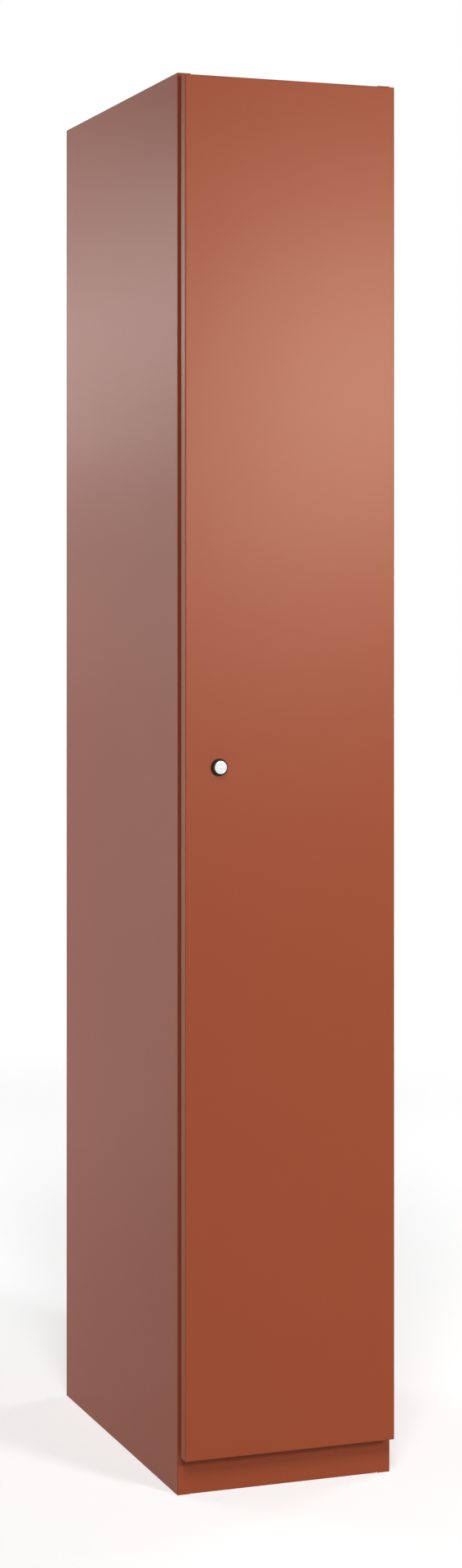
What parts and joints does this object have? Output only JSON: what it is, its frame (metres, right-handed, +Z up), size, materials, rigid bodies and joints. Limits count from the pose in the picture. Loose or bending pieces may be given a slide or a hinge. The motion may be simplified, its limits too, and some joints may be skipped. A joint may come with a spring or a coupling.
{
  "type": "single locker",
  "caption": "Tall narrow sheet-steel locker with a plain overlay door on hidden hinges, a cylinder cam lock, hat shelf, coat rail with sliding hooks and levelling feet.",
  "frame": {"origin": "on the floor, in the middle of the width and of the whole depth from the door's face to the carcass back", "axes": "+Z up, -Y out of the door's front face, +X towards the hinge side"},
  "size_m": [0.3, 0.5304, 1.85],
  "materials": {
    "powder_coat": "satin terracotta powder coat on sheet steel",
    "chromed_tube": "bright chromed steel tube",
    "rivet_aluminium": "plain blind rivets",
    "zinc_steel": "bright zinc plate",
    "lock_black": "black lacquered die casting",
    "lock_nickel": "bright nickel plate",
    "black_plastic": "moulded, fine texture",
    "nylon": "natural nylon",
    "buffer_rubber": "soft black rubber"
  },
  "bodies": {
    "carcass": {"back_panel": "powder_coat", "back_rivets": "rivet_aluminium", "coat_rail": "chromed_tube", "door_buffers": "buffer_rubber", "floor_panel": "powder_coat", "floor_plugs": "black_plastic", "foot_bracket_front_left": "powder_coat", "foot_bracket_front_right": "powder_coat", "foot_bracket_rear_left": "powder_coat", "foot_bracket_rear_right": "powder_coat", "foot_nuts": "zinc_steel", "hanger_rivets": "rivet_aluminium", "hat_shelf": "powder_coat", "hinge_bushes": "nylon", "hinge_lug_lower": "powder_coat", "hinge_lug_middle": "powder_coat", "hinge_lug_upper": "powder_coat", "left_side_panel": "powder_coat", "plinth_front": "powder_coat", "rail_hanger_left": "powder_coat", "rail_hanger_right": "powder_coat", "right_side_panel": "powder_coat", "shelf_angle_left": "powder_coat", "shelf_angle_right": "powder_coat", "top_panel": "powder_coat"},
    "door": {"door_skin": "powder_coat", "door_stiffener": "powder_coat", "lock_housing": "lock_black", "lock_nut": "zinc_steel", "hinge_bracket_lower": "powder_coat", "hinge_bracket_middle": "powder_coat", "hinge_bracket_upper": "powder_coat", "hinge_pin_lower": "zinc_steel", "hinge_pin_middle": "zinc_steel", "hinge_pin_upper": "zinc_steel"},
    "lock_cylinder": {"lock_plug": "lock_nickel", "lock_cam": "zinc_steel", "cam_screw": "zinc_steel"},
    "hook_left": {"coat_hook_left": "black_plastic"},
    "hook_middle": {"coat_hook_middle": "black_plastic"},
    "hook_right": {"coat_hook_right": "black_plastic"},
    "foot_front_left": {"levelling_foot_front_left": "zinc_steel"},
    "foot_front_right": {"levelling_foot_front_right": "zinc_steel"},
    "foot_rear_left": {"levelling_foot_rear_left": "zinc_steel"},
    "foot_rear_right": {"levelling_foot_rear_right": "zinc_steel"}
  },
  "joints": [
    {"name": "door_swing", "type": "hinge", "parent": "carcass", "child": "door", "pos_m": [0.1402, -0.25025, 0.947], "axis": [0, 0, 1], "range_deg": [0, 110]},
    {"name": "lock_turn", "type": "hinge", "parent": "door", "child": "lock_cylinder", "pos_m": [-0.1005, -0.26125, 0.947], "axis": [0, 1, 0], "range_deg": [0, 90]},
    {"name": "hook_left_slide", "type": "slide", "parent": "carcass", "child": "hook_left", "axis": [1, 0, 0], "range_m": [-0.05, 0.027]},
    {"name": "hook_middle_slide", "type": "slide", "parent": "carcass", "child": "hook_middle", "axis": [1, 0, 0], "range_m": [-0.027, 0.027]},
    {"name": "hook_right_slide", "type": "slide", "parent": "carcass", "child": "hook_right", "axis": [1, 0, 0], "range_m": [-0.027, 0.05]},
    {"name": "foot_front_left_screw", "type": "slide", "parent": "carcass", "child": "foot_front_left", "axis": [0, 0, 1], "range_m": [-0.018, 0.004]},
    {"name": "foot_front_right_screw", "type": "slide", "parent": "carcass", "child": "foot_front_right", "axis": [0, 0, 1], "range_m": [-0.018, 0.004]},
    {"name": "foot_rear_left_screw", "type": "slide", "parent": "carcass", "child": "foot_rear_left", "axis": [0, 0, 1], "range_m": [-0.018, 0.004]},
    {"name": "foot_rear_right_screw", "type": "slide", "parent": "carcass", "child": "foot_rear_right", "axis": [0, 0, 1], "range_m": [-0.018, 0.004]}
  ]
}
